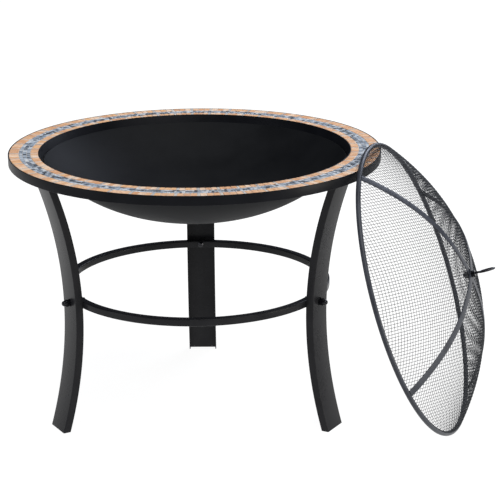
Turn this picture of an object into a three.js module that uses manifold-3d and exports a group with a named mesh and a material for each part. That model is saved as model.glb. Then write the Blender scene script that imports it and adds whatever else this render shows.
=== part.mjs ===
// Round fire table: a tiled steel rim on three bowed legs with a brace ring, a lift-out
// fire bowl, and a domed spark screen that leans against the edge of the table.
// Millimetres, +Z up, the floor at z = 0.
import * as THREE from 'three';
import { mergeVertices } from 'three/addons/utils/BufferGeometryUtils.js';
import Module from 'manifold-3d';

const wasm = await Module();
wasm.setup();

// ---- Driving dimensions ----------------------------------------------------------------
const tableCentre = [-109.77, 21.09];  // table axis, from the middle of table and screen together
const roundSteps = 72;               // facets around every ring of the table
const gap = 0.3;                     // air between pieces that touch
const sheet = 2;                     // steel sheet of the rim, the bowl and the legs

const rimRadius = 380;               // table rim, a pressed pan that holds the tiles
const rimTop = 549;
const skirtHeight = 19.4;
const wellTopRadius = 317;           // mouth of the slanted well that the bowl hangs in
const wellFootRadius = 309.5;
const ledgeTop = 531.5;
const ledgeRadius = 302.6;
const bedDepth = 6;                  // tile bed below the lips

const groutHeight = 2.7;
const tileHeight = 2.7;
const outerTiles = [356.4, 377.6];   // inner and outer radius of each tile band
const slateBand = [334.2, 355.4];
const innerTiles = [319.4, 333.2];

const bowlFlangeRadius = 308.6;
const bowlRadius = 299;              // where the bowl's curve starts
const bowlFloor = 410.6;
const bowlDepth = 104.5;
const bowlPower = 2.45;
const bowlFlat = 45;                 // flat middle of the bowl
const shellSteps = 54;               // facets around the bowl and the mesh dome

const legAzimuths = [90, 210, 330];
const legWidth = 61;
const legDepth = 15.2;               // flange depth of the channel
const legTop = 537.8;
const waistHeight = 240;
const waistRadius = 290.8;
const footRadius = 328;
const shoulderRadius = 347.5;        // outer face of the leg level with the ledge
const shoulderHeight = 532;

const bracketSpan = [326, 372];      // plate between leg and tile bed, inner and outer radius
const bracketWidth = 90;
const bracketThickness = 2.6;
const bracketScrewOffset = 38;       // screws stand either side of the leg's channel

const braceRadius = 277;             // outer face of the brace ring
const braceDepth = 16;
const braceHeights = [258.2, 272.7];

const boltRadius = 3;
const holeRadius = 3.4;
const boltHeight = 265.4;
const boltEnd = 303;
const washerRadius = 8;
const washerThickness = 1.5;
const nutFlats = 13;
const nutStart = 293.8;
const nutHeight = 7;
const nutDomeHeight = 7.6;

const screenRadius = 298.5;          // middle of the rim tube
const screenTube = 5;
const screenLean = 70.9;             // degrees between the screen's axis and straight up
const screenAzimuth = -16.2;
const screenDistance = 462.6;        // from the table's axis to the middle of the screen's rim
const domeStart = 5.5;
const domeRise = 110.5;
const domePower = 2.27;
const domeThickness = 1.2;
const strapAngles = [26, 116];
const strapWidth = 15;
const strapThickness = 1.8;
const strapLift = [0.5, 2.8];        // air under each strap where the two cross

const eyeRodRadius = 2.5;
const eyeRodStart = -13;             // from the top of the mesh, along the screen's axis
const eyeRingRadius = 15.5;          // middle of the finger ring's wire
const eyeRingCentre = 36.5;
const eyeWireRadius = 2;
const eyeRingTurn = -9;              // degrees about the screen's axis
const eyeWasherRadius = 7.5;

// ---- Materials -------------------------------------------------------------------------
const finish = (color, roughness, metalness) =>
  new THREE.MeshStandardMaterial({ color, roughness, metalness });
const blackSteel = finish(0x232324, 0.42, 0.3);
const bowlSteel = finish(0x191a1c, 0.5, 0.3);
const legSteel = finish(0x2c2b2b, 0.45, 0.3);
const screenSteel = finish(0x4a4c52, 0.45, 0.4);
const boltSteel = finish(0x141416, 0.35, 0.6);
const sandstone = finish(0xc8a283, 0.75, 0);
const slate = finish(0x6f7a86, 0.7, 0);
const grout = finish(0xb9ad9e, 0.9, 0);

// ---- Small helpers ---------------------------------------------------------------------
const radians = THREE.MathUtils.degToRad;

function mesh(name, geometry, material) {
  const item = new THREE.Mesh(geometry, material);
  item.name = name;
  return item;
}

function group(...children) {
  const item = new THREE.Group();
  item.add(...children);
  return item;
}

// A closed profile of [radius, height] pairs, counter-clockwise, turned about +Z. The
// half-step phase puts the middle of a flat facet at every leg.
function turned(profile, steps = roundSteps) {
  const points = profile.map(([r, z]) => new THREE.Vector2(r, z));
  const first = profile[0];
  const last = profile[profile.length - 1];
  if (first[0] > 0 || last[0] > 0) points.push(points[0].clone());
  return new THREE.LatheGeometry(points, steps, Math.PI / steps).rotateX(Math.PI / 2);
}

function ring([inner, outer], [low, high], steps) {
  return turned([[inner, low], [outer, low], [outer, high], [inner, high]], steps);
}

// A flat outline in X and Z, given thickness along Y and centred on Y = 0.
function slab(outline, width) {
  const shape = new THREE.Shape(outline.map(([x, z]) => new THREE.Vector2(x, z)));
  const geometry = new THREE.ExtrudeGeometry(shape, { depth: width, bevelEnabled: false });
  return geometry.rotateX(Math.PI / 2).translate(0, width / 2, 0);
}

function cylinder(radius, low, high, sides = 16) {
  return new THREE.CylinderGeometry(radius, radius, high - low, sides)
    .rotateX(Math.PI / 2).translate(0, 0, (low + high) / 2);
}

function solid(geometry) {
  const plain = geometry.index ? geometry.clone() : mergeVertices(geometry.clone());
  plain.deleteAttribute('normal');
  plain.deleteAttribute('uv');
  const merged = mergeVertices(plain, 1e-4);
  const index = Array.from(merged.index.array);
  const triangles = [];
  for (let i = 0; i < index.length; i += 3) {
    const [a, b, c] = index.slice(i, i + 3);
    if (a !== b && b !== c && c !== a) triangles.push(a, b, c);
  }
  return new wasm.Manifold(new wasm.Mesh({
    numProp: 3,
    vertProperties: new Float32Array(merged.attributes.position.array),
    triVerts: new Uint32Array(triangles),
  }));
}

function fromSolid(body) {
  const result = body.getMesh();
  const geometry = new THREE.BufferGeometry();
  geometry.setAttribute('position', new THREE.BufferAttribute(result.vertProperties, 3));
  geometry.setIndex(new THREE.BufferAttribute(result.triVerts, 1));
  return geometry;
}

function cut(geometry, ...tools) {
  return fromSolid(tools.reduce((body, tool) => body.subtract(solid(tool)), solid(geometry)));
}

function join(geometry, ...others) {
  return fromSolid(others.reduce((body, other) => body.add(solid(other)), solid(geometry)));
}

// Places a piece built along +Z so that +Z points away from the table's axis.
function radial(geometry, height) {
  return geometry.rotateY(Math.PI / 2).translate(0, 0, height);
}

// ---- Rim and tiles ---------------------------------------------------------------------
function bracketScrewPlaces() {
  const middle = (bracketSpan[0] + bracketSpan[1]) / 2;
  return [[middle, -bracketScrewOffset], [middle, bracketScrewOffset]];
}

function rimGeometry() {
  const bed = rimTop - bedDepth;
  const low = rimTop - skirtHeight;
  const body = turned([
    [rimRadius - sheet, low], [rimRadius, low], [rimRadius, rimTop - 1.2],
    [rimRadius - 1, rimTop], [rimRadius - sheet, rimTop], [rimRadius - sheet, bed],
    [wellTopRadius + sheet, bed], [wellTopRadius + sheet, rimTop], [wellTopRadius, rimTop],
    [wellFootRadius, ledgeTop], [ledgeRadius, ledgeTop], [ledgeRadius, ledgeTop - sheet],
    [wellFootRadius + sheet, ledgeTop - sheet],
    [wellTopRadius + sheet - 1.6, bed - sheet], [rimRadius - sheet, bed - sheet],
  ]);
  const holes = legAzimuths.flatMap((azimuth) => bracketScrewPlaces().map(([x, y]) =>
    cylinder(holeRadius, bed - 5, bed + 3).translate(x, y, 0).rotateZ(radians(azimuth))));
  return cut(body, ...holes);
}

function tablePieces() {
  const bed = rimTop - bedDepth;
  const groutLevels = [bed + gap, bed + gap + groutHeight - gap];
  const tileLevels = [groutLevels[1] + gap, rimTop];
  const bedSpan = [wellTopRadius + sheet + 0.4, rimRadius - sheet - 0.4];
  return [
    mesh('table_rim', rimGeometry(), blackSteel),
    mesh('grout_bed', ring(bedSpan, groutLevels), grout),
    mesh('outer_tiles', ring(outerTiles, tileLevels), sandstone),
    mesh('slate_band', ring(slateBand, tileLevels), slate),
    mesh('inner_tiles', ring(innerTiles, tileLevels), sandstone),
  ];
}

// ---- Fire bowl -------------------------------------------------------------------------
function bowlHeight(radius) {
  const reach = Math.max(0, (radius - bowlFlat) / (bowlRadius - bowlFlat));
  const curve = (radius / bowlRadius) ** bowlPower;
  return bowlFloor + bowlDepth * curve * Math.min(1, reach * 6);
}

function bowlGeometry() {
  const radii = [bowlFlat, 100, 148, 188, 222, 250, 272, 288, bowlRadius];
  const outside = radii.map((r) => [r, bowlHeight(r)]);
  const inside = radii.map((r) => [r - sheet * 0.55 * (r / bowlRadius), bowlHeight(r) + sheet]);
  const flange = ledgeTop + gap;
  return turned([
    [0, bowlFloor], ...outside,
    [bowlRadius + 2.2, flange], [bowlFlangeRadius, flange],
    [bowlFlangeRadius, flange + sheet], [bowlRadius + 0.5, flange + sheet],
    ...inside.reverse(), [0, bowlFloor + sheet],
  ], shellSteps);
}

// ---- Legs ------------------------------------------------------------------------------
function legRadius(height) {
  if (height < waistHeight) {
    return waistRadius + (footRadius - waistRadius) * ((waistHeight - height) / waistHeight) ** 2;
  }
  const rise = (height - waistHeight) / (shoulderHeight - waistHeight);
  return waistRadius + (shoulderRadius - waistRadius) * rise ** 2;
}

// Side view of a layer of the leg between two depths behind its outer face.
function legLayer(front, back, low, high, steps = 20) {
  const heights = Array.from({ length: steps + 1 }, (_, i) => low + (high - low) * i / steps);
  return [
    ...heights.map((z) => [legRadius(z) - front, z]),
    ...heights.reverse().map((z) => [legRadius(z) - back, z]),
  ];
}

function legGeometry() {
  const channel = slab(legLayer(0, legDepth, 0, legTop), legWidth);
  const hollow = slab(legLayer(sheet, legDepth + 4, -4, legTop + 4), legWidth - 2 * sheet);
  const hole = radial(cylinder(holeRadius, waistRadius - 8, waistRadius + 8), boltHeight);
  return cut(channel, hollow, hole);
}

function bracketGeometry() {
  const [inner, outer] = bracketSpan;
  const low = legTop + gap;
  const outline = [
    [inner, low], [outer, low], [outer, low + bracketThickness], [inner, low + bracketThickness],
  ];
  const holes = bracketScrewPlaces().map(([x, y]) =>
    cylinder(holeRadius, low - 2, low + bracketThickness + 2).translate(x, y, 0));
  return cut(slab(outline, bracketWidth), ...holes);
}

function bracketScrew() {
  const head = legTop + gap - 0.3;
  return join(
    cylinder(5.8, head - 4, head, 6),
    cylinder(boltRadius, head - 2, rimTop - bedDepth, 12),
  );
}

// ---- Brace ring and its bolts ----------------------------------------------------------
function braceGeometry() {
  const [low, high] = braceHeights;
  const inner = braceRadius - braceDepth;
  const bevel = 1.5;
  const body = turned([
    [inner + bevel, low], [braceRadius - bevel, low], [braceRadius, low + bevel],
    [braceRadius, high - bevel], [braceRadius - bevel, high], [inner + bevel, high],
    [inner, high - bevel], [inner, low + bevel],
  ]);
  const holes = legAzimuths.map((azimuth) =>
    radial(cylinder(holeRadius, inner - 5, braceRadius + 5), boltHeight).rotateZ(radians(azimuth)));
  return cut(body, ...holes);
}

function braceBolt() {
  const seat = braceRadius - braceDepth - 0.5;
  const head = turned([
    [0, seat - 4], [3.5, seat - 4], [6, seat - 2], [6, seat], [0, seat],
  ], 16);
  return radial(join(head, cylinder(boltRadius, seat - 1, boltEnd, 16)), boltHeight);
}

function washerGeometry() {
  const low = nutStart - gap - washerThickness;
  return radial(ring([holeRadius, washerRadius], [low, low + washerThickness], 20), boltHeight);
}

function capNut() {
  const hex = cylinder(nutFlats / Math.sqrt(3), nutStart, nutStart + nutHeight, 6);
  const base = nutStart + nutHeight - 0.5;
  const dome = turned([
    [0, base], [5.9, base], [5.6, base + 3], [4.4, base + 5.6], [2.4, base + nutDomeHeight],
    [0, base + nutDomeHeight + 0.4],
  ], 16);
  const bore = cylinder(holeRadius - 0.1, nutStart - 2, boltEnd + 0.5);
  return radial(cut(join(hex, dome), bore), boltHeight);
}

function legPieces(azimuth, number) {
  const screws = bracketScrewPlaces().map(([x, y], i) =>
    mesh(`rim_screw_${number * 2 - 1 + i}`, bracketScrew().translate(x, y, 0), boltSteel));
  const pieces = group(
    mesh(`leg_${number}`, legGeometry(), legSteel),
    mesh(`leg_bracket_${number}`, bracketGeometry(), blackSteel),
    mesh(`brace_bolt_${number}`, braceBolt(), boltSteel),
    mesh(`brace_washer_${number}`, washerGeometry(), boltSteel),
    mesh(`cap_nut_${number}`, capNut(), boltSteel),
    ...screws,
  );
  pieces.rotation.z = radians(azimuth);
  return pieces;
}

// ---- Spark screen, built facing up with the middle of its rim tube at the origin --------
function domeHeight(radius) {
  return domeStart + domeRise * (1 - (Math.abs(radius) / screenRadius) ** domePower);
}

function screenMesh() {
  const radii = [298.5, 285, 268, 246, 218, 185, 145, 100, 55];
  const outside = radii.map((r) => [r, domeHeight(r)]);
  const inside = radii.map((r) => [r - domeThickness * 0.6 * (r / screenRadius) ** 1.3,
    domeHeight(r) - domeThickness]).reverse();
  inside[inside.length - 1] = [screenRadius - 3, domeStart];
  const top = domeStart + domeRise;
  const body = turned([
    ...outside, [holeRadius, top], [holeRadius, top - domeThickness], ...inside,
  ], shellSteps);
  return body;
}

function strapGeometry(lift) {
  const reach = screenRadius - 1.5;
  const steps = 28;
  const stations = Array.from({ length: steps + 1 }, (_, i) => -reach + 2 * reach * i / steps);
  const clear = (r) => 0.6 + (lift - 0.6) * Math.exp(-((r / 60) ** 2));
  const lower = stations.map((r) => [r, domeHeight(r) + clear(r)]);
  const upper = stations.map((r) => [r, domeHeight(r) + clear(r) + strapThickness]).reverse();
  const hole = cylinder(holeRadius, domeRise - 10, domeRise + 30);
  return cut(slab([...lower, ...upper], strapWidth), hole);
}

function eyeHandle() {
  const top = domeStart + domeRise;
  const rod = cylinder(eyeRodRadius, top + eyeRodStart, top + eyeRingCentre - eyeRingRadius, 12);
  const loop = new THREE.TorusGeometry(eyeRingRadius, eyeWireRadius, 8, 28)
    .rotateY(Math.PI / 2).rotateZ(radians(eyeRingTurn)).translate(0, 0, top + eyeRingCentre);
  return join(rod, loop);
}

function screenPieces() {
  const top = domeStart + domeRise;
  const strapTop = top + strapLift[1] + strapThickness;
  const under = top - domeThickness - gap;
  const nutSpan = [eyeRodRadius + 0.4, 7];
  const washerSpan = [nutSpan[0], eyeWasherRadius];
  const tube = new THREE.TorusGeometry(screenRadius, screenTube, 10, roundSteps);
  const straps = strapAngles.map((angle, i) => {
    const strap = mesh(`screen_strap_${i + 1}`, strapGeometry(strapLift[i]), screenSteel);
    strap.rotation.z = radians(angle);
    return strap;
  });
  const upright = group(
    mesh('screen_rim', tube, screenSteel),
    mesh('screen_mesh', screenMesh(), screenSteel),
    ...straps,
    mesh('eye_handle', eyeHandle(), boltSteel),
    mesh('eye_washer_1', ring(washerSpan, [strapTop + gap, strapTop + gap + 1.5], 20), boltSteel),
    mesh('eye_nut_1', ring(nutSpan, [strapTop + gap * 2 + 1.5, strapTop + 7.5], 6), boltSteel),
    mesh('eye_washer_2', ring(washerSpan, [under - 1.5, under], 20), boltSteel),
    mesh('eye_nut_2', ring(nutSpan, [under - 7.5, under - 1.5 - gap], 6), boltSteel),
  );
  upright.rotation.y = radians(screenLean);
  upright.position.set(
    screenDistance, 0, screenTube + screenRadius * Math.sin(radians(screenLean)),
  );
  const pieces = group(upright);
  pieces.rotation.z = radians(screenAzimuth);
  return pieces;
}

// ---- The whole object ------------------------------------------------------------------
const fireTable = group(
  ...tablePieces(),
  mesh('fire_bowl', bowlGeometry(), bowlSteel),
  mesh('brace_ring', braceGeometry(), blackSteel),
  ...legAzimuths.map((azimuth, i) => legPieces(azimuth, i + 1)),
  screenPieces(),
);
fireTable.position.set(...tableCentre, 0);

export default group(fireTable);
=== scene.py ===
import math
import random
import bpy
import bmesh
from mathutils import Matrix, Vector


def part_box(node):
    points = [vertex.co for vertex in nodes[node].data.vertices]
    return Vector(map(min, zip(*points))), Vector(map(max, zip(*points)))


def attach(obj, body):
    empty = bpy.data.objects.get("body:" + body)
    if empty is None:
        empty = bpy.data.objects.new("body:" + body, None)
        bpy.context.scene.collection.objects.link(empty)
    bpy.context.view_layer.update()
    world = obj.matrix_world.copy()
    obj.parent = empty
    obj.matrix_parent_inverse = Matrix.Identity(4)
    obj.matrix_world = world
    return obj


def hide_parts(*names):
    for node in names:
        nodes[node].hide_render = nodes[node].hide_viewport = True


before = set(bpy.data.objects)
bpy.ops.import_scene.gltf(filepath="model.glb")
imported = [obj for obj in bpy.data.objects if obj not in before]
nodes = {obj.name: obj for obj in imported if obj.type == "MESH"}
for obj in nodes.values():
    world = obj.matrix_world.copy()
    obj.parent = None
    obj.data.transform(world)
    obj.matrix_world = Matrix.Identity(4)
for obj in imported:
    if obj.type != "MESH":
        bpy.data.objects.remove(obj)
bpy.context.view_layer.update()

mm = 0.001
weldDistance = 0.001 * mm
bowlLow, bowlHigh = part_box("fire_bowl")
tableAxis = Vector(((bowlLow[0] + bowlHigh[0]) / 2, (bowlLow[1] + bowlHigh[1]) / 2, 0))
tablePlace = Matrix.Translation(tableAxis)
print("frame loaded:", len(nodes), "nodes")


# Colours and nodes.

def hexColour(text):
    channels = [int(text[i:i + 2], 16) / 255 for i in (0, 2, 4)]
    linear = [c / 12.92 if c <= 0.04045 else ((c + 0.055) / 1.055) ** 2.4 for c in channels]
    return (*linear, 1.0)


def addNode(tree, kind, inputs=None, **settings):
    node = tree.nodes.new(kind)
    for name, value in settings.items():
        setattr(node, name, value)
    for name, value in (inputs or {}).items():
        if isinstance(value, bpy.types.NodeSocket):
            tree.links.new(value, node.inputs[name])
        else:
            node.inputs[name].default_value = value
    return node


def startMaterial(name, shaderValues):
    material = bpy.data.materials.new(name)
    material.use_nodes = True
    tree = material.node_tree
    tree.nodes.clear()
    shader = addNode(tree, "ShaderNodeBsdfPrincipled", shaderValues)
    addNode(tree, "ShaderNodeOutputMaterial", {"Surface": shader.outputs[0]})
    place = addNode(tree, "ShaderNodeTexCoord").outputs["Object"]
    return material, tree, shader, place


def setRamp(ramp, stops):
    band = ramp.color_ramp
    while len(band.elements) < len(stops):
        band.elements.new(0.5)
    for element, (position, colour) in zip(band.elements, stops):
        element.position = position
        element.color = hexColour(colour)


def perMillimetre(size):
    return 1 / (size * mm)


# Finishes.

def powderCoat(name, look):
    # Baked polyester powder on steel: a soft gloss over fine orange peel, a little cloudy
    # where hands and weather have dulled it.
    material, tree, shader, place = startMaterial(name, {
        "IOR": look["ior"], "Specular IOR Level": look["specular"]})
    cloud = addNode(tree, "ShaderNodeTexNoise", {
        "Vector": place, "Scale": perMillimetre(look["cloud"]), "Detail": 4.0, "Roughness": 0.6})
    tint = addNode(tree, "ShaderNodeValToRGB", {"Fac": cloud.outputs["Fac"]})
    setRamp(tint, [(0.3, look["deep"]), (0.72, look["pale"])])
    dull = addNode(tree, "ShaderNodeMapRange", {
        "Value": cloud.outputs["Fac"], "From Min": 0.3, "From Max": 0.7,
        "To Min": look["rough"][0], "To Max": look["rough"][1]})
    peel = addNode(tree, "ShaderNodeTexNoise", {
        "Vector": place, "Scale": perMillimetre(look["peel"]), "Detail": 2.0})
    bump = addNode(tree, "ShaderNodeBump", {
        "Height": peel.outputs["Fac"], "Strength": look["peelStrength"], "Distance": 0.02 * mm})
    tree.links.new(tint.outputs["Color"], shader.inputs["Base Color"])
    tree.links.new(dull.outputs["Result"], shader.inputs["Roughness"])
    tree.links.new(bump.outputs["Normal"], shader.inputs["Normal"])
    return material


rimPowder = powderCoat("satin black powder coat", {
    "deep": "0b0c0f", "pale": "121317", "rough": (0.34, 0.42), "ior": 1.5, "specular": 0.07,
    "cloud": 60, "peel": 1.4, "peelStrength": 0.35})
legPowder = powderCoat("semi-gloss black powder coat", {
    "deep": "1b1b1d", "pale": "242426", "rough": (0.24, 0.32), "ior": 1.5, "specular": 0.1,
    "cloud": 70, "peel": 1.4, "peelStrength": 0.35})
bowlPaint = powderCoat("heat-proof black stove paint", {
    "deep": "101113", "pale": "18191b", "rough": (0.52, 0.6), "ior": 1.5, "specular": 0.045,
    "cloud": 90, "peel": 0.9, "peelStrength": 0.6})
screenPaint = powderCoat("grey-black heat-proof paint", {
    "deep": "2a2c32", "pale": "373a41", "rough": (0.34, 0.46), "ior": 1.5, "specular": 0.22,
    "cloud": 30, "peel": 1.0, "peelStrength": 0.3})
wirePaint = powderCoat("painted steel wire", {
    "deep": "202225", "pale": "2e3034", "rough": (0.4, 0.55), "ior": 1.5, "specular": 0.2,
    "cloud": 12, "peel": 0.8, "peelStrength": 0.2})


def zincFinish(look):
    # Black passivated zinc on small hardware: darker and glossier than the powder coat,
    # with faint cloudy patches from the dip.
    material, tree, shader, place = startMaterial("black passivated zinc", {"Metallic": 0.6})
    cloud = addNode(tree, "ShaderNodeTexNoise", {
        "Vector": place, "Scale": perMillimetre(look["cloud"]), "Detail": 3.0})
    tint = addNode(tree, "ShaderNodeValToRGB", {"Fac": cloud.outputs["Fac"]})
    setRamp(tint, [(0.3, look["deep"]), (0.7, look["pale"])])
    dull = addNode(tree, "ShaderNodeMapRange", {
        "Value": cloud.outputs["Fac"], "To Min": look["rough"][0], "To Max": look["rough"][1]})
    tree.links.new(tint.outputs["Color"], shader.inputs["Base Color"])
    tree.links.new(dull.outputs["Result"], shader.inputs["Roughness"])
    return material


blackZinc = zincFinish({"deep": "131316", "pale": "222227", "rough": (0.12, 0.26), "cloud": 5})


def stoneFinish(name, look):
    # Sawn stone set in grout: every piece has its own tint, with fine grain and soft veins,
    # matt but not chalky.
    material, tree, shader, place = startMaterial(name, {
        "IOR": 1.5, "Specular IOR Level": 0.35, "Roughness": look["rough"]})
    own = addNode(tree, "ShaderNodeAttribute", attribute_name="stoneTint")
    grain = addNode(tree, "ShaderNodeTexNoise", {
        "Vector": place, "Scale": perMillimetre(look["grain"]), "Detail": 6.0, "Roughness": 0.65})
    vein = addNode(tree, "ShaderNodeTexNoise", {
        "Vector": place, "Scale": perMillimetre(look["vein"]), "Detail": 3.0, "Distortion": 1.2})
    tinted = own.outputs["Color"]
    for noise, shades in ((grain, look["grainShades"]), (vein, look["veinShades"])):
        shade = addNode(tree, "ShaderNodeValToRGB", {"Fac": noise.outputs["Fac"]})
        setRamp(shade, [(0.3, shades[0]), (0.68, shades[1])])
        mix = addNode(tree, "ShaderNodeMix", {0: 1.0, 6: tinted, 7: shade.outputs["Color"]},
                      data_type="RGBA", blend_type="MULTIPLY")
        tinted = mix.outputs[2]
    bump = addNode(tree, "ShaderNodeBump", {
        "Height": grain.outputs["Fac"], "Strength": look["bump"], "Distance": 0.15 * mm})
    tree.links.new(tinted, shader.inputs["Base Color"])
    tree.links.new(bump.outputs["Normal"], shader.inputs["Normal"])
    return material


sandstoneFinish = stoneFinish("honed sandstone", {
    "rough": 0.62, "grain": 1.1, "vein": 9, "grainShades": ("d8cfc8", "ffffff"),
    "veinShades": ("e2d3c6", "ffffff"), "bump": 0.4})
slateFinish = stoneFinish("riven slate", {
    "rough": 0.5, "grain": 1.6, "vein": 5, "grainShades": ("c8ccd2", "ffffff"),
    "veinShades": ("d2d6dc", "ffffff"), "bump": 0.8})


def groutFinish(look):
    # Sanded cement grout: a pale, dry, gritty line between the stones.
    material, tree, shader, place = startMaterial("sanded grout", {
        "Roughness": 0.9, "Specular IOR Level": 0.2})
    sand = addNode(tree, "ShaderNodeTexVoronoi", {
        "Vector": place, "Scale": perMillimetre(look["sand"])})
    tint = addNode(tree, "ShaderNodeValToRGB", {"Fac": sand.outputs["Distance"]})
    setRamp(tint, [(0.1, look["pale"]), (0.8, look["deep"])])
    bump = addNode(tree, "ShaderNodeBump", {
        "Height": sand.outputs["Distance"], "Strength": 0.6, "Distance": 0.2 * mm})
    tree.links.new(tint.outputs["Color"], shader.inputs["Base Color"])
    tree.links.new(bump.outputs["Normal"], shader.inputs["Normal"])
    return material


paleGrout = groutFinish({"pale": "cdc8c1", "deep": "a7a29b", "sand": 0.9})
print("finishes made")


# Shapes, as lists of corners in millimetres and faces.

def fillet(corners, radius, steps=4):
    # Each corner of a closed outline becomes a short curve of about the given radius.
    outline = []
    for i, corner in enumerate(corners):
        here = Vector(corner)
        before = Vector(corners[i - 1]) - here
        after = Vector(corners[(i + 1) % len(corners)]) - here
        run = radius / math.tan(before.angle(after) / 2)
        run = min(run, before.length * 0.48, after.length * 0.48)  # neighbours never meet
        start = here + before.normalized() * run
        end = here + after.normalized() * run
        for k in range(steps + 1):
            t = k / steps
            outline.append(start * (1 - t) ** 2 + here * 2 * t * (1 - t) + end * t * t)
    return outline


def loft(sections, closed=False):
    # Joins outlines with the same number of corners; open ends are capped.
    count = len(sections[0])
    corners = [tuple(point) for section in sections for point in section]
    faces = []
    for row in range(len(sections) if closed else len(sections) - 1):
        following = (row + 1) % len(sections)
        for i in range(count):
            nearby = (i + 1) % count
            faces.append((row * count + i, row * count + nearby,
                          following * count + nearby, following * count + i))
    if not closed:
        faces.append(tuple(range(count)))
        faces.append(tuple((len(sections) - 1) * count + i for i in range(count)))
    return corners, faces


def turned(profile, steps):
    sections = []
    for step in range(steps):
        angle = 2 * math.pi * step / steps
        sections.append([(r * math.cos(angle), r * math.sin(angle), z) for r, z in profile])
    return loft(sections, closed=True)


def tube(path, radii, sides, closed=False):
    # A round bar along a path; each section is turned as little as the path allows.
    sections = []
    side = None
    for i, point in enumerate(path):
        ahead = path[(i + 1) % len(path)] if closed or i + 1 < len(path) else point
        behind = path[i - 1] if closed or i > 0 else point
        along = (ahead - behind).normalized()
        side = (side or along.orthogonal())
        side = (side - along * side.dot(along)).normalized()
        up = along.cross(side)
        sections.append([
            point + (side * math.cos(a) + up * math.sin(a)) * radii[i]
            for a in (2 * math.pi * k / sides for k in range(sides))])
    return loft(sections, closed)


def joined(shapes):
    corners, faces = [], []
    for shapeCorners, shapeFaces in shapes:
        start = len(corners)
        corners += shapeCorners
        faces += [tuple(start + i for i in face) for face in shapeFaces]
    return corners, faces


def makePiece(name, shape, finish, body, replaced, place=tablePlace, sharp=38, tints=None):
    corners, faces = shape
    work = bmesh.new()
    points = [work.verts.new(place @ (Vector(corner) * mm)) for corner in corners]
    for face in faces:
        work.faces.new([points[i] for i in face])
    bmesh.ops.remove_doubles(work, verts=work.verts, dist=weldDistance)
    bmesh.ops.recalc_face_normals(work, faces=work.faces)
    mesh = bpy.data.meshes.new(name)
    work.to_mesh(mesh)
    work.free()
    mesh.shade_smooth()
    mesh.set_sharp_from_angle(angle=math.radians(sharp))
    if tints:
        layer = mesh.color_attributes.new(name="stoneTint", type="FLOAT_COLOR", domain="CORNER")
        for polygon, tint in zip(mesh.polygons, tints):
            for loop in polygon.loop_indices:
                layer.data[loop].color = tint
    mesh.materials.append(finish)
    piece = bpy.data.objects.new(name, mesh)
    bpy.context.scene.collection.objects.link(piece)
    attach(piece, body)
    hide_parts(*replaced)
    return piece


# Rim of the table: one pressed pan with a skirt, a tile bed and a well for the bowl.
rim = {
    "radius": 380, "top": 549, "skirt": 19.4, "sheet": 2, "bed": 543, "underBed": 541,
    "wellTop": 317, "wellFoot": 309.6, "ledge": 530.6, "ledgeEdge": 305.6, "ledgeDrop": 3.2,
    "fold": 0.9, "steps": 288}


def rimProfile():
    foot = rim["top"] - rim["skirt"]
    inside = rim["radius"] - rim["sheet"]
    return fillet([
        (inside, foot), (rim["radius"], foot), (rim["radius"], rim["top"]),
        (inside, rim["top"]), (inside, rim["bed"]), (rim["wellTop"] + 2, rim["bed"]),
        (rim["wellTop"] + 2, rim["top"]), (rim["wellTop"], rim["top"]),
        (rim["wellFoot"], rim["ledge"]), (rim["ledgeEdge"], rim["ledge"] - rim["ledgeDrop"]),
        (rim["ledgeEdge"] + 0.6, rim["ledge"] - rim["ledgeDrop"] - rim["sheet"]),
        (rim["wellFoot"] + 2, rim["ledge"] - rim["sheet"] + 1),
        (rim["wellTop"] + 0.4, rim["underBed"]), (inside, rim["underBed"])], rim["fold"])


makePiece("rim_pan", turned(rimProfile(), rim["steps"]), rimPowder, "table",
          ["table_rim"])


# Fire bowl: spun from one sheet; its rolled edge sits just above the ledge of the rim.
bowl = {
    "edge": 308.4, "radius": 299, "floor": 410.6, "depth": 104.5, "power": 2.45, "flat": 45,
    "flatBlend": 42, "upturn": 8.4, "upturnPower": 12, "sheet": 2,
    "inset": 1.3, "roll": [(0.5, -1.4), (0.4, -0.5), (-0.3, 0.1)], "rings": 48, "steps": 288}


def bowlHeight(radius):
    leave = min(1, max(0, (radius - bowl["flat"]) / bowl["flatBlend"]))
    curve = bowl["depth"] * (radius / bowl["radius"]) ** bowl["power"] * leave
    return bowl["floor"] + curve + bowl["upturn"] * (radius / bowl["edge"]) ** bowl["upturnPower"]


def bowlProfile():
    radii = [bowl["edge"] * i / bowl["rings"] for i in range(bowl["rings"] + 1)]
    outside = [(r, bowlHeight(r)) for r in radii]
    shrink = 1 - bowl["inset"] / bowl["edge"]
    inside = [(r * shrink, bowlHeight(r) + bowl["sheet"]) for r in radii]
    edgeTop = bowlHeight(bowl["edge"]) + bowl["sheet"]
    roll = [(bowl["edge"] + out, edgeTop + up) for out, up in bowl["roll"]]
    return outside + roll + inside[::-1]


makePiece("spun_bowl", turned(bowlProfile(), bowl["steps"]), bowlPaint, "bowl",
          ["fire_bowl"])
print("rim and bowl made")


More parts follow.
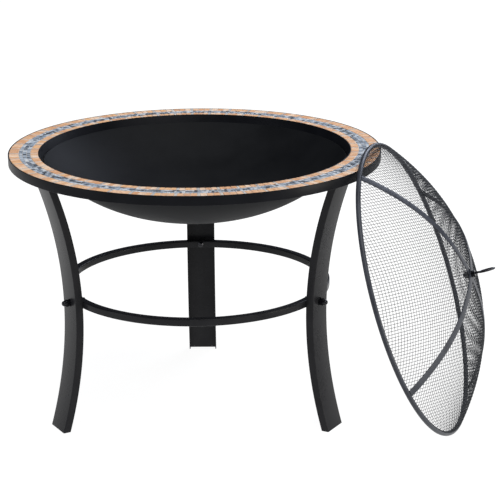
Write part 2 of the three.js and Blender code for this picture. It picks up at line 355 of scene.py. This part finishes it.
# Mosaic: peach sandstone blocks outside and inside, slate chips between, all set in grout.
mosaic = {
    "top": 549, "bottom": 546, "bevel": 0.5, "unevenness": 0.3,
    "groutTop": 548.1, "groutBottom": 543.3, "groutInner": 319.3, "groutOuter": 377.7,
    "groutDip": 0.2, "dipRadii": (357.9, 334.9),
    "repeats": 54, "joint": 1.0, "outer": (358.4, 377.6), "inner": (319.2, 334.4),
    "spacer": 5.2, "stripsPerBlock": 3,
    "peach": ["ebc29c", "f2d0b0", "e2b38a", "f5dec6", "e6c09c", "efc598", "dfb592"],
    "spacers": ["d2d3d2", "c2c6ca", "dcdad6"]}
slate = {
    "rows": [(335.4, 342.2), (342.9, 350.1), (350.8, 357.4)], "length": (4, 9),
    "joint": 0.9, "wander": 0.35, "unevenness": 0.5, "firstAngle": 0.03,
    "dark": ["3f454d", "555c66", "6a727b", "7e868e"],
    "light": ["9ba6b2", "b3bdc7", "c8ced4", "dfe1e1"], "lightShare": (0.7, 0.48, 0.85)}
dice = random.Random(7)


def stoneBlock(outline, top, bottom, bevel):
    # A flat stone with its top edges eased; the outline runs round its four corners.
    middle = sum((Vector(point) for point in outline), Vector((0, 0))) / len(outline)
    eased = []
    for point in outline:
        inward = middle - Vector(point)
        eased.append(Vector(point) + inward.normalized() * bevel * 1.4)  # across the corner
    levels = [(outline, bottom), (outline, top - bevel), (eased, top)]
    return loft([[(x, y, z) for x, y in points] for points, z in levels])


def ringSector(inner, outer, start, end):
    # Four corners of a piece of a ring, with angles in radians.
    return [(r * math.cos(a), r * math.sin(a))
            for r, a in ((inner, start), (outer, start), (outer, end), (inner, end))]


def sandstoneRow(inner, outer):
    middle = (inner + outer) / 2
    period = 2 * math.pi / mosaic["repeats"]
    spacer = mosaic["spacer"] / middle
    strip = (period - spacer) / mosaic["stripsPerBlock"]
    half = mosaic["joint"] / middle / 2
    blocks, tints = [], []
    for repeat in range(mosaic["repeats"]):
        angle = repeat * period
        for part in range(mosaic["stripsPerBlock"] + 1):
            width = strip if part < mosaic["stripsPerBlock"] else spacer
            colours = mosaic["peach"] if part < mosaic["stripsPerBlock"] else mosaic["spacers"]
            block = stoneBlock(ringSector(inner, outer, angle + half, angle + width - half),
                               mosaic["top"] - dice.uniform(0, mosaic["unevenness"]), mosaic["bottom"],
                               mosaic["bevel"])
            blocks.append(block)
            tints += [hexColour(dice.choice(colours))] * len(block[1])
            angle += width
    return joined(blocks), tints


def slateRow(inner, outer, lightShare):
    middle = (inner + outer) / 2
    blocks, tints = [], []
    angle = dice.uniform(0, slate["firstAngle"])
    end = angle + 2 * math.pi
    while angle < end - slate["length"][0] / middle:
        chip = min(dice.uniform(*slate["length"]) / middle, end - angle)
        outline = []
        for x, y in ringSector(inner, outer, angle + slate["joint"] / middle, angle + chip):
            stray = slate["wander"]
            outline.append((x + dice.uniform(-stray, stray), y + dice.uniform(-stray, stray)))
        block = stoneBlock(outline, mosaic["top"] - dice.uniform(0, slate["unevenness"]),
                           mosaic["bottom"], mosaic["bevel"])
        blocks.append(block)
        colours = slate["light"] if dice.random() < lightShare else slate["dark"]
        tints += [hexColour(dice.choice(colours))] * len(block[1])
        angle += chip
    return joined(blocks), tints


for name, node in (("outer", "outer_tiles"), ("inner", "inner_tiles")):
    row, rowTints = sandstoneRow(*mosaic[name])
    makePiece("sandstone_" + name, row, sandstoneFinish, "table", [node],
              tints=rowTints)
slateRows = [slateRow(*span, share) for span, share in zip(slate["rows"], slate["lightShare"])]
makePiece("slate_chips", joined([row for row, tints in slateRows]), slateFinish, "table",
          ["slate_band"], tints=[tint for row, tints in slateRows for tint in tints])
groutProfile = [
    (mosaic["groutInner"], mosaic["groutBottom"]), (mosaic["groutOuter"], mosaic["groutBottom"]),
    (mosaic["groutOuter"], mosaic["groutTop"]),
    *[(r, mosaic["groutTop"] - mosaic["groutDip"]) for r in mosaic["dipRadii"]],
    (mosaic["groutInner"], mosaic["groutTop"])]
makePiece("grout_ring", turned(groutProfile, rim["steps"]), paleGrout, "table",
          ["grout_bed"])
print("mosaic made")


# Legs: bowed channels, folded from sheet, open towards the table's axis.
leg = {
    "azimuths": [90, 210, 330], "width": 61, "depth": 15.2, "sheet": 2, "bend": 2.6,
    "top": 537.8, "waistHeight": 240, "waist": 290.8, "foot": 328, "shoulder": 347.5,
    "shoulderHeight": 532, "steps": 72}


def legRadius(height):
    if height < leg["waistHeight"]:
        drop = (leg["waistHeight"] - height) / leg["waistHeight"]
        return leg["waist"] + (leg["foot"] - leg["waist"]) * drop ** 2
    rise = (height - leg["waistHeight"]) / (leg["shoulderHeight"] - leg["waistHeight"])
    return leg["waist"] + (leg["shoulder"] - leg["waist"]) * rise ** 2


def channelOutline():
    # Depth behind the outer face and distance across the leg.
    half, depth, sheet = leg["width"] / 2, leg["depth"], leg["sheet"]
    outerBends = fillet([(0, -half), (0, half), (depth, half), (depth, -half)], leg["bend"])
    innerBends = fillet([(sheet, half - sheet), (sheet, -half + sheet), (depth, -half + sheet),
                         (depth, half - sheet)], leg["bend"] - sheet)
    openEdge = depth - leg["bend"] - 0.1  # only the bends next to the outer face are kept
    outside = [p for p in outerBends if p.x < openEdge]
    inside = [p for p in innerBends if p.x < openEdge]
    ends = [Vector((depth, half)), Vector((depth, half - sheet))]
    otherEnds = [Vector((depth, -half + sheet)), Vector((depth, -half))]
    return outside + ends + inside + otherEnds


def legShape():
    outline = channelOutline()
    heights = [leg["top"] * i / leg["steps"] for i in range(leg["steps"] + 1)]
    return loft([[(legRadius(z) - p.x, p.y, z) for p in outline] for z in heights])


for number, azimuth in enumerate(leg["azimuths"], 1):
    legPlace = tablePlace @ Matrix.Rotation(math.radians(azimuth), 4, "Z")
    makePiece(f"bowed_leg_{number}", legShape(), legPowder, "table",
              [f"leg_{number}"], place=legPlace, sharp=30)


# Brace ring, bolted inside the three legs.
brace = {"outer": 277, "inner": 261, "low": 258.2, "high": 272.7, "corner": 2.2, "steps": 288}
braceProfile = fillet([
    (brace["inner"], brace["low"]), (brace["outer"], brace["low"]),
    (brace["outer"], brace["high"]), (brace["inner"], brace["high"])], brace["corner"])
makePiece("brace_hoop", turned(braceProfile, brace["steps"]), legPowder, "table",
          ["brace_ring"])
print("legs and brace made")


# Nuts: a hexagon whose corners are turned back at each end, and a dome on the cap nuts.
capNut = {"flats": 13, "start": 293.8, "height": 7, "chamfer": 0.9, "chamferSlope": 0.6,
          "seam": 0.1, "domeFoot": 1.4, "domeRise": 6, "domeRadius": 5.8, "domeSquare": 0.8,
          "domeRings": 10, "boltHeight": 265.4, "steps": 96}
eyeNut = {"flats": 12.1, "height": 5.4, "chamfer": 0.7, "chamferSlope": 0.6, "bore": 2.9,
          "starts": (6.7, -8.9), "steps": 96}


def hexRadius(flats, angle):
    return flats / 2 / math.cos((angle + math.pi / 6) % (math.pi / 3) - math.pi / 6)


def hexSection(flats, turnedBack, height, steps):
    corner = flats / math.sqrt(3) - turnedBack
    angles = [2 * math.pi * k / steps for k in range(steps)]
    return [(min(hexRadius(flats, a), corner) * math.cos(a),
             min(hexRadius(flats, a), corner) * math.sin(a), height) for a in angles]


def roundSection(radius, height, steps):
    angles = [2 * math.pi * k / steps for k in range(steps)]
    return [(radius * math.cos(a), radius * math.sin(a), height) for a in angles]


def hexBody(nut):
    flats, back, top, steps = nut["flats"], nut["chamfer"], nut["height"], nut["steps"]
    ease = back * nut["chamferSlope"]
    return [hexSection(flats, back, 0, steps), hexSection(flats, 0, ease, steps),
            hexSection(flats, 0, top - ease, steps), hexSection(flats, back, top, steps)]


def capNutShape():
    steps, top, radius = capNut["steps"], capNut["height"], capNut["domeRadius"]
    sections = hexBody(capNut)
    sections.append(roundSection(radius, top + capNut["seam"], steps))
    for k in range(capNut["domeRings"]):
        lift = k / capNut["domeRings"] * math.pi / 2
        sections.append(roundSection(
            radius * math.cos(lift) ** capNut["domeSquare"],
            top + capNut["domeFoot"] + capNut["domeRise"] * math.sin(lift), steps))
    return loft(sections)


def eyeNutShape():
    steps = eyeNut["steps"]
    bore = [roundSection(eyeNut["bore"], height, steps) for height in (eyeNut["height"], 0)]
    return loft(hexBody(eyeNut) + bore, closed=True)


for number, azimuth in enumerate(leg["azimuths"], 1):
    nutPlace = (tablePlace @ Matrix.Rotation(math.radians(azimuth), 4, "Z")
                @ Matrix.Translation(Vector((capNut["start"], 0, capNut["boltHeight"])) * mm)
                @ Matrix.Rotation(math.pi / 2, 4, "Y"))
    makePiece(f"acorn_nut_{number}", capNutShape(), blackZinc, "table",
              [f"cap_nut_{number}"], place=nutPlace, sharp=30)


# Spark screen: built facing up round its own axis, then leaned against the table.
screen = {
    "radius": 298.5, "tube": 5, "lean": 70.9, "azimuth": -16.2, "distance": 462.6,
    "domeStart": 5.5, "domeRise": 110.5, "domePower": 2.27, "steps": 288, "sides": 20}
screenHeight = screen["tube"] + screen["radius"] * math.sin(math.radians(screen["lean"]))
screenPlace = (tablePlace @ Matrix.Rotation(math.radians(screen["azimuth"]), 4, "Z")
               @ Matrix.Translation(Vector((screen["distance"], 0, screenHeight)) * mm)
               @ Matrix.Rotation(math.radians(screen["lean"]), 4, "Y"))
domeTop = screen["domeStart"] + screen["domeRise"]


def domeHeight(radius):
    share = min(1, abs(radius) / screen["radius"])
    return screen["domeStart"] + screen["domeRise"] * (1 - share ** screen["domePower"])


def domeNormal(x, y):
    radius = max(1e-6, math.hypot(x, y))
    slope = domeHeight(radius + 0.5) - domeHeight(radius - 0.5)
    return Vector((-slope * x / radius, -slope * y / radius, 1)).normalized()


hoopPath = [Vector((screen["radius"] * math.cos(a), screen["radius"] * math.sin(a), 0))
            for a in (2 * math.pi * k / screen["steps"] for k in range(screen["steps"]))]
hoopRadii = [screen["tube"]] * len(hoopPath)
makePiece("screen_hoop", tube(hoopPath, hoopRadii, screen["sides"], closed=True),
          screenPaint, "spark_screen", ["screen_rim"], place=screenPlace)


# Woven wire: every wire passes over one neighbour and under the next.
weave = {"pitch": 6.0, "wire": 0.94, "angle": -14, "edge": 299, "edgeHeight": 4.2}


def weaveWire(across, index, turn):
    # One wire at a fixed distance from the middle, along the other direction of the weave.
    along = Vector((-across.y, across.x, 0))
    offset = (index + 0.5) * weave["pitch"]
    reach = math.sqrt(weave["edge"] ** 2 - offset ** 2)
    count = int(reach / weave["pitch"] - 0.5)
    places = [(k + 0.5) * weave["pitch"] for k in range(-count - 1, count + 1)]
    sections = []
    stops = [(-reach, 0)] + [(s, 1 if (k + index + turn) % 2 else -1)
                             for k, s in enumerate(places, -count - 1)] + [(reach, 0)]
    for s, side in stops:
        flat = across * offset + along * s
        normal = domeNormal(flat.x, flat.y)
        height = domeHeight(flat.length) if side else weave["edgeHeight"]
        middle = Vector((flat.x, flat.y, height)) + normal * side * weave["wire"] * 0.5
        sideways = (across - normal * across.dot(normal)).normalized()
        half = weave["wire"] / 2
        sections.append([middle + normal * half, middle + sideways * half,
                         middle - normal * half, middle - sideways * half])
    return loft(sections)


def weaveShape():
    wires = []
    last = int(weave["edge"] / weave["pitch"] - 1)
    for turn in range(2):
        angle = math.radians(weave["angle"] + 90 * turn)
        across = Vector((math.cos(angle), math.sin(angle), 0))
        for index in range(-last - 1, last + 1):
            wires.append(weaveWire(across, index, turn))
    return joined(wires)


makePiece("woven_dome", weaveShape(), wirePaint, "spark_screen",
          ["screen_mesh"], place=screenPlace, sharp=100)
print("hoop and woven wire made")


# Two flat straps cross over the dome, one bent a little higher to clear the other.
strap = {"angles": [26, 116], "width": 15, "thickness": 1.8, "lifts": [0.5, 2.8],
         "corner": 0.5, "crossing": 60, "gap": 0.6, "reach": 299.5, "settle": 1.1,
         "settleShare": 0.05, "steps": 120}


def strapShape(lift):
    half = strap["width"] / 2
    outline = fillet([(-half, 0), (half, 0), (half, strap["thickness"]),
                      (-half, strap["thickness"])], strap["corner"], steps=3)
    sections = []
    for k in range(strap["steps"] + 1):
        r = strap["reach"] * (2 * k / strap["steps"] - 1)
        clear = strap["gap"] + (lift - strap["gap"]) * math.exp(-(r / strap["crossing"]) ** 2)
        fromEnd = 1 - abs(r) / strap["reach"]
        clear -= strap["settle"] * max(0, 1 - fromEnd / strap["settleShare"])
        sections.append([(r, p.x, domeHeight(r) + clear + p.y) for p in outline])
    return loft(sections)


for number, (angle, lift) in enumerate(zip(strap["angles"], strap["lifts"]), 1):
    strapPlace = screenPlace @ Matrix.Rotation(math.radians(angle), 4, "Z")
    makePiece(f"flat_strap_{number}", strapShape(lift), screenPaint, "spark_screen",
              [f"screen_strap_{number}"], place=strapPlace, sharp=30)


# Eye bolt: a bar through the top of the dome whose end is bent into a finger ring.
eye = {"rod": 2.5, "wire": 2, "start": -13, "ring": 15.5, "ringCentre": 36.5, "bendStart": 17,
       "ringTurn": -9, "ringStart": -84, "ringSweep": 346, "barSteps": 11, "ringSteps": 72,
       "sides": 16}


def eyeShape():
    path, radii = [], []
    for k in range(eye["barSteps"] + 1):
        along = eye["start"] + (eye["bendStart"] - eye["start"]) * k / eye["barSteps"]
        path.append(Vector((0, 0, domeTop + along)))
        radii.append(eye["rod"])
    centre = domeTop + eye["ringCentre"]
    for k in range(eye["ringSteps"] + 1):
        angle = math.radians(eye["ringStart"] + eye["ringSweep"] * k / eye["ringSteps"])
        path.append(Vector((0, eye["ring"] * math.cos(angle),
                            centre + eye["ring"] * math.sin(angle))))
        radii.append(eye["wire"])
    return tube(path, radii, eye["sides"])


eyePlace = screenPlace @ Matrix.Rotation(math.radians(eye["ringTurn"]), 4, "Z")
makePiece("eye_bolt", eyeShape(), blackZinc, "spark_screen", ["eye_handle"],
          place=eyePlace)
for number, start in enumerate(eyeNut["starts"], 1):
    nutPlace = screenPlace @ Matrix.Translation(Vector((0, 0, domeTop + start)) * mm)
    makePiece(f"hex_nut_{number}", eyeNutShape(), blackZinc, "spark_screen",
              [f"eye_nut_{number}"], place=nutPlace, sharp=30)
print("straps and eye bolt made")


# Hardware that keeps its own shape gets its finish and a small eased edge.
hardware = {
    "leg_bracket_": (3, rimPowder, 0.5), "rim_screw_": (6, blackZinc, 0.4),
    "brace_bolt_": (3, blackZinc, 0.3), "brace_washer_": (3, blackZinc, 0.3),
    "eye_washer_": (2, blackZinc, 0.3)}
for stem, (count, finish, ease) in hardware.items():
    for number in range(1, count + 1):
        part = nodes[f"{stem}{number}"]
        part.data.materials.clear()
        part.data.materials.append(finish)
        softened = part.modifiers.new("eased edges", "BEVEL")
        softened.width = ease * mm
        softened.segments = 2
        softened.limit_method = "ANGLE"
        softened.angle_limit = math.radians(40)
print("hardware finished")


# Floor, light and camera.
studio = {
    "floorSize": 40, "floorColour": "646462", "floorGlow": 0.95, "worldStrength": 0.1,
    "glowColour": "ffffff", "worldColour": "e2eaff", "sun": 3.3, "sunAngle": 60, "sunTilt": (20, 16)}


def makeFloor():
    # A pale acrylic sweep, lit from below so that it stays even and nearly free of shadows.
    half = studio["floorSize"] / 2
    mesh = bpy.data.meshes.new("studio_floor")
    mesh.from_pydata([(-half, -half, 0), (half, -half, 0), (half, half, 0), (-half, half, 0)],
                     [], [(0, 1, 2, 3)])
    material = startMaterial("pale studio floor", {
        "Roughness": 1.0, "Specular IOR Level": 0.0, "Emission Strength": studio["floorGlow"],
        "Emission Color": hexColour(studio["glowColour"]),
        "Base Color": hexColour(studio["floorColour"])})[0]
    mesh.materials.append(material)
    floor = bpy.data.objects.new("studio_floor", mesh)
    bpy.context.scene.collection.objects.link(floor)


def makeAreaLight(name, look):
    lamp = bpy.data.lights.new(name, "AREA")
    lamp.shape = "RECTANGLE"
    lamp.size, lamp.size_y = look["size"]
    lamp.energy = look["power"]
    lamp.color = hexColour(look["colour"])[:3]
    light = bpy.data.objects.new(name, lamp)
    light.location = look["at"]
    aim = Vector(look["towards"]) - Vector(look["at"])
    light.rotation_euler = aim.to_track_quat("-Z", "Y").to_euler()
    bpy.context.scene.collection.objects.link(light)


def makeSun():
    lamp = bpy.data.lights.new("soft top light", "SUN")
    lamp.energy = studio["sun"]
    lamp.angle = math.radians(studio["sunAngle"])
    light = bpy.data.objects.new("soft top light", lamp)
    light.rotation_euler = [math.radians(tilt) for tilt in (*studio["sunTilt"], 0)]
    bpy.context.scene.collection.objects.link(light)


makeFloor()
makeSun()
makeAreaLight("left panel", {
    "at": (-2.6, -1.2, 1.1), "towards": (-0.1, 0, 0.45), "size": (1.0, 1.8), "power": 18,
    "colour": "f3f6ff"})
makeAreaLight("right low panel", {
    "at": (2.6, -0.95, 0.4), "towards": (0, 0, 0.5), "size": (0.5, 0.9), "power": 34,
    "colour": "fffaf2"})
makeAreaLight("right back panel", {
    "at": (1.5, 2.4, 2.0), "towards": (-0.1, 0, 0.5), "size": (1.6, 1.4), "power": 44,
    "colour": "e4ecff"})
world = bpy.data.worlds.new("studio")
world.use_nodes = True
backdrop = world.node_tree.nodes["Background"]
backdrop.inputs["Color"].default_value = hexColour(studio["worldColour"])
backdrop.inputs["Strength"].default_value = studio["worldStrength"]
bpy.context.scene.world = world
bpy.context.scene.view_settings.view_transform = "Standard"

view = {"lens": 130.91, "sensor": 36, "at": (129.332, -3621.571, 1418.979),
        "yaw": -0.005, "pitch": 0.292, "roll": 0.007}
lens = bpy.data.cameras.new("front camera")
lens.lens = view["lens"]
lens.sensor_width = view["sensor"]
camera = bpy.data.objects.new("front camera", lens)
camera.matrix_world = (
    Matrix.Translation(tableAxis + Vector(view["at"]) * mm)
    @ Matrix.Rotation(-view["yaw"], 4, "Z")
    @ Matrix.Rotation(math.pi / 2 - view["pitch"], 4, "X")
    @ Matrix.Rotation(-view["roll"], 4, "Z"))
bpy.context.scene.collection.objects.link(camera)
bpy.context.scene.camera = camera
print("floor, lights and camera made")
